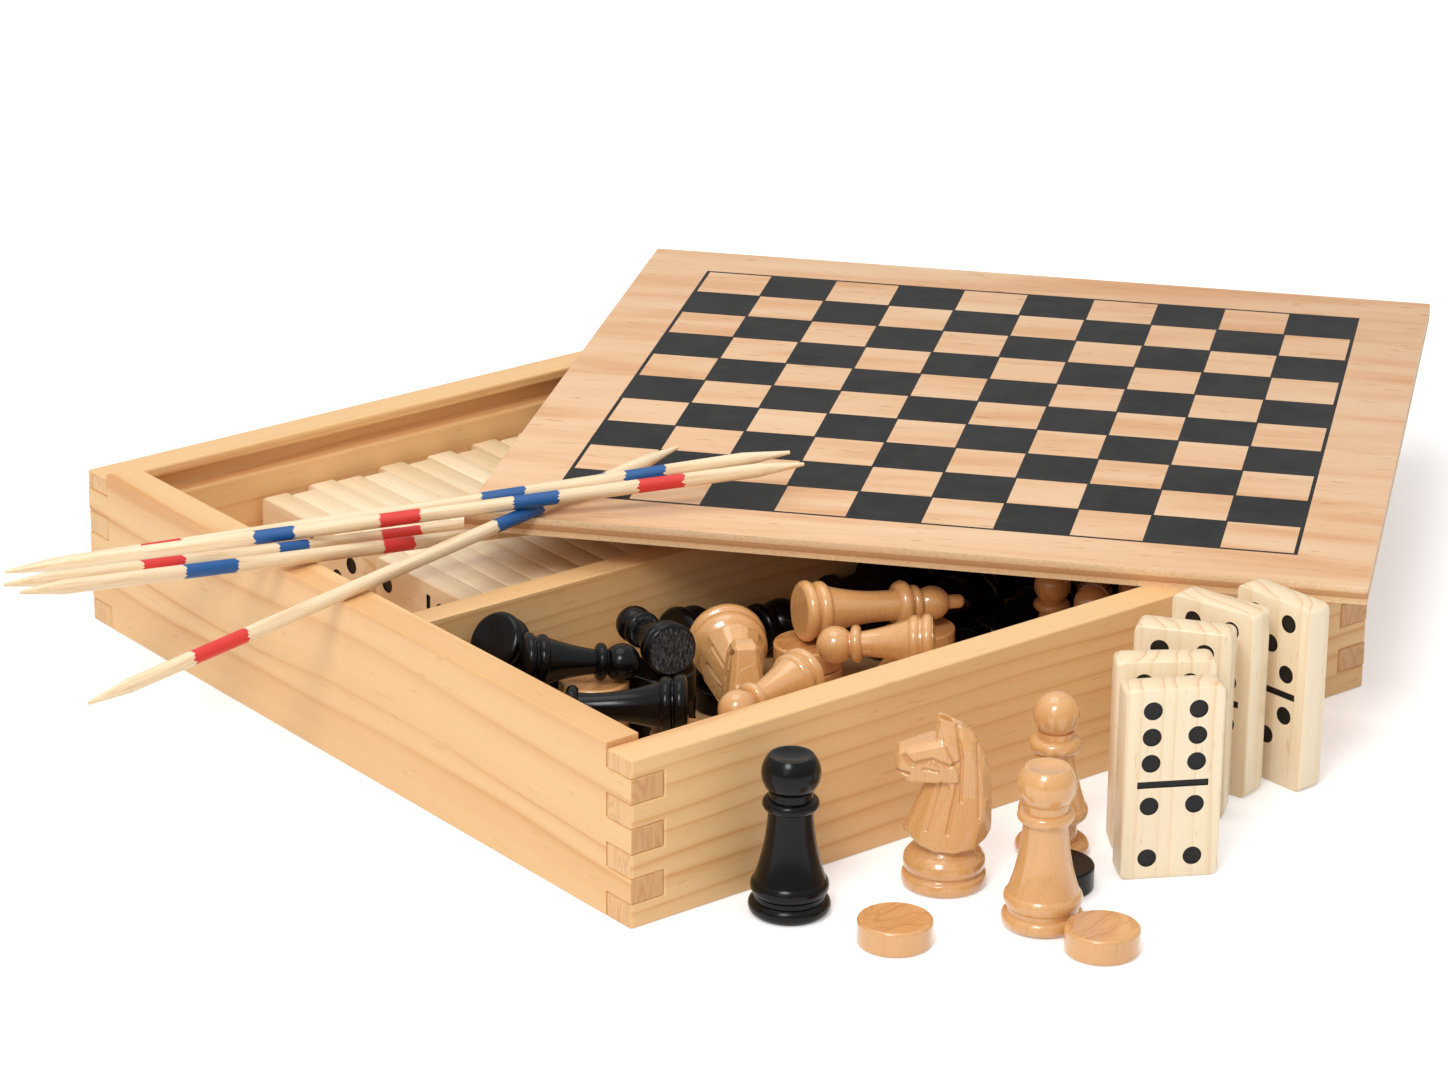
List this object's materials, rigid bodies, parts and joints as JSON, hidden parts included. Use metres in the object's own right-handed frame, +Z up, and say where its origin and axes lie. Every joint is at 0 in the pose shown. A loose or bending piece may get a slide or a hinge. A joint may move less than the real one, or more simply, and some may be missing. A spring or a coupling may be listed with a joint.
{
  "type": "games compendium box",
  "caption": "Finger-jointed wooden games box with its checkered board lid laid across it, holding chessmen, draughts, dominoes and pick-up sticks.",
  "frame": {"origin": "centre of the box underside, on the surface it stands on", "axes": "+X along the front wall towards the open end that the lid slides out of, +Y from the front wall to the back wall, +Z up"},
  "size_m": [0.4794, 0.3893, 0.0637],
  "materials": {
    "pine": "clear satin lacquer on sanded pine",
    "plywood": "satin lacquered plywood with a printed black checker pattern",
    "stick_wood": "bare pale wood with painted red and blue bands",
    "domino_wood": "clear satin lacquer with black painted pips",
    "natural_lacquer": "glossy clear lacquer on turned beech",
    "black_lacquer": "glossy black lacquer on turned wood"
  },
  "bodies": {
    "box": {"base_panel": "pine", "wall_front": "pine", "wall_back": "pine", "wall_left": "pine", "wall_right": "pine", "divider": "pine", "dominoes_back_row": "domino_wood", "dominoes_front_row": "domino_wood", "king_natural": "natural_lacquer", "knight_natural": "natural_lacquer", "rook_black": "black_lacquer", "queen_natural": "natural_lacquer", "bishop_natural": "natural_lacquer", "rook_natural": "natural_lacquer", "bishops_black": "black_lacquer", "knights_black": "black_lacquer", "pawns_black": "black_lacquer", "pawns_natural": "natural_lacquer", "draughts_natural": "natural_lacquer", "draughts_black": "black_lacquer"},
    "lid_board": {"lid_board": "plywood"},
    "stick_lid": {"stick_lid": "stick_wood"},
    "stick_upper_front": {"stick_upper_front": "stick_wood"},
    "stick_upper_back": {"stick_upper_back": "stick_wood"},
    "stick_under_front": {"stick_under_front": "stick_wood"},
    "stick_under_back": {"stick_under_back": "stick_wood"},
    "domino_standing_1": {"domino_standing_1": "domino_wood"},
    "domino_standing_2": {"domino_standing_2": "domino_wood"},
    "domino_standing_3": {"domino_standing_3": "domino_wood"},
    "domino_standing_4": {"domino_standing_4": "domino_wood"},
    "domino_standing_5": {"domino_standing_5": "domino_wood"},
    "rook_black_outside": {"rook_black_outside": "black_lacquer"},
    "knight_natural_outside": {"knight_natural_outside": "natural_lacquer"},
    "rook_natural_outside": {"rook_natural_outside": "natural_lacquer"},
    "bishop_natural_outside": {"bishop_natural_outside": "natural_lacquer"},
    "draught_natural_1": {"draught_natural_1": "natural_lacquer"},
    "draught_natural_2": {"draught_natural_2": "natural_lacquer"},
    "draught_black_1": {"draught_black_1": "black_lacquer"},
    "king_black": {"king_black": "black_lacquer"},
    "queen_black": {"queen_black": "black_lacquer"},
    "pawn_natural_1": {"pawn_natural_1": "natural_lacquer"},
    "pawn_natural_2": {"pawn_natural_2": "natural_lacquer"},
    "pawn_black_1": {"pawn_black_1": "black_lacquer"},
    "pawn_black_2": {"pawn_black_2": "black_lacquer"}
  },
  "joints": [
    {"name": "lid_board_lift", "type": "slide", "parent": "box", "child": "lid_board", "axis": [0, 0, 1], "range_m": [0, 0.08]},
    {"name": "stick_lid_lift", "type": "slide", "parent": "lid_board", "child": "stick_lid", "axis": [0, 0, 1], "range_m": [0, 0.06]},
    {"name": "stick_upper_front_lift", "type": "slide", "parent": "stick_lid", "child": "stick_upper_front", "axis": [0, 0, 1], "range_m": [0, 0.06]},
    {"name": "stick_upper_back_lift", "type": "slide", "parent": "stick_lid", "child": "stick_upper_back", "axis": [0, 0, 1], "range_m": [0, 0.06]},
    {"name": "stick_under_front_draw", "type": "slide", "parent": "box", "child": "stick_under_front", "axis": [-0.9832, -0.0947, 0.1562], "range_m": [0, 0.12]},
    {"name": "stick_under_back_draw", "type": "slide", "parent": "box", "child": "stick_under_back", "axis": [-0.9819, -0.1049, 0.1576], "range_m": [0, 0.12]},
    {"name": "domino_standing_1_lift", "type": "slide", "parent": "box", "child": "domino_standing_1", "axis": [0, 0, 1], "range_m": [0, 0.06]},
    {"name": "domino_standing_2_lift", "type": "slide", "parent": "box", "child": "domino_standing_2", "axis": [0, 0, 1], "range_m": [0, 0.06]},
    {"name": "domino_standing_3_lift", "type": "slide", "parent": "box", "child": "domino_standing_3", "axis": [0, 0, 1], "range_m": [0, 0.06]},
    {"name": "domino_standing_4_lift", "type": "slide", "parent": "box", "child": "domino_standing_4", "axis": [0, 0, 1], "range_m": [0, 0.06]},
    {"name": "domino_standing_5_lift", "type": "slide", "parent": "box", "child": "domino_standing_5", "axis": [0, 0, 1], "range_m": [0, 0.06]},
    {"name": "rook_black_outside_lift", "type": "slide", "parent": "box", "child": "rook_black_outside", "axis": [0, 0, 1], "range_m": [0, 0.06]},
    {"name": "knight_natural_outside_lift", "type": "slide", "parent": "box", "child": "knight_natural_outside", "axis": [0, 0, 1], "range_m": [0, 0.06]},
    {"name": "rook_natural_outside_lift", "type": "slide", "parent": "box", "child": "rook_natural_outside", "axis": [0, 0, 1], "range_m": [0, 0.06]},
    {"name": "bishop_natural_outside_lift", "type": "slide", "parent": "box", "child": "bishop_natural_outside", "axis": [0, 0, 1], "range_m": [0, 0.06]},
    {"name": "draught_natural_1_lift", "type": "slide", "parent": "box", "child": "draught_natural_1", "axis": [0, 0, 1], "range_m": [0, 0.06]},
    {"name": "draught_natural_2_lift", "type": "slide", "parent": "box", "child": "draught_natural_2", "axis": [0, 0, 1], "range_m": [0, 0.06]},
    {"name": "draught_black_1_lift", "type": "slide", "parent": "box", "child": "draught_black_1", "axis": [0, 0, 1], "range_m": [0, 0.06]},
    {"name": "king_black_lift", "type": "slide", "parent": "box", "child": "king_black", "axis": [0, 0, 1], "range_m": [0, 0.06]},
    {"name": "queen_black_lift", "type": "slide", "parent": "box", "child": "queen_black", "axis": [0, 0, 1], "range_m": [0, 0.06]},
    {"name": "pawn_natural_1_lift", "type": "slide", "parent": "box", "child": "pawn_natural_1", "axis": [0, 0, 1], "range_m": [0, 0.06]},
    {"name": "pawn_natural_2_lift", "type": "slide", "parent": "box", "child": "pawn_natural_2", "axis": [0, 0, 1], "range_m": [0, 0.06]},
    {"name": "pawn_black_1_lift", "type": "slide", "parent": "box", "child": "pawn_black_1", "axis": [0, 0, 1], "range_m": [0, 0.06]},
    {"name": "pawn_black_2_lift", "type": "slide", "parent": "box", "child": "pawn_black_2", "axis": [0, 0, 1], "range_m": [0, 0.06]}
  ]
}
